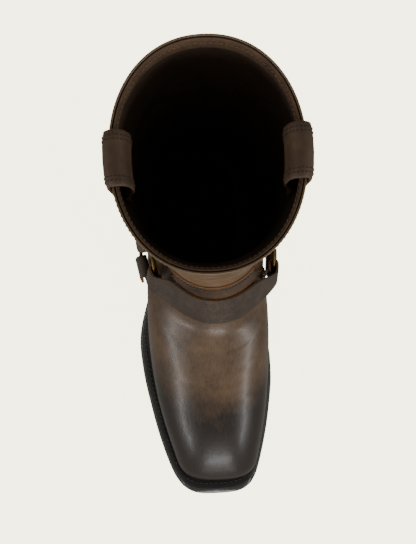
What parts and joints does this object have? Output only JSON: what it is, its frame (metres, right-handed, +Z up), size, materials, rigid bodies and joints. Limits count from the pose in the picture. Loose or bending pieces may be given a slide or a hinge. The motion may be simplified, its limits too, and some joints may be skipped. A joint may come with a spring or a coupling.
{
  "type": "harness boot",
  "caption": "Tall pull-on leather harness boot with a square toe, stacked block heel and ringed straps round the ankle, hollow inside.",
  "frame": {"origin": "middle of the heel cap's flat bottom face, on the floor", "axes": "+X from the heel to the toe, +Y to the inner (medial) side of the right foot, +Z up along the shaft"},
  "size_m": [0.302, 0.1252, 0.3498],
  "materials": {
    "leather": "oiled and burnished",
    "strap_leather": "oiled, raw cut edges",
    "lining": "plain, matt",
    "sole_black": "black edge dressing",
    "heel_black": "black edge dressing",
    "rubber": "matt",
    "old_brass": "aged, satin"
  },
  "bodies": {
    "root": {"heel_cap": "rubber", "heel_stack": "heel_black", "outsole": "sole_black", "welt": "sole_black", "insole": "lining", "upper": "leather", "vamp": "leather", "counter": "leather", "instep_strap": "strap_leather", "heel_strap": "strap_leather", "arch_strap_lateral": "strap_leather", "arch_strap_medial": "strap_leather", "ring_lateral": "old_brass", "ring_medial": "old_brass", "pull_strap_lateral": "strap_leather", "pull_strap_medial": "strap_leather"}
  },
  "joints": []
}
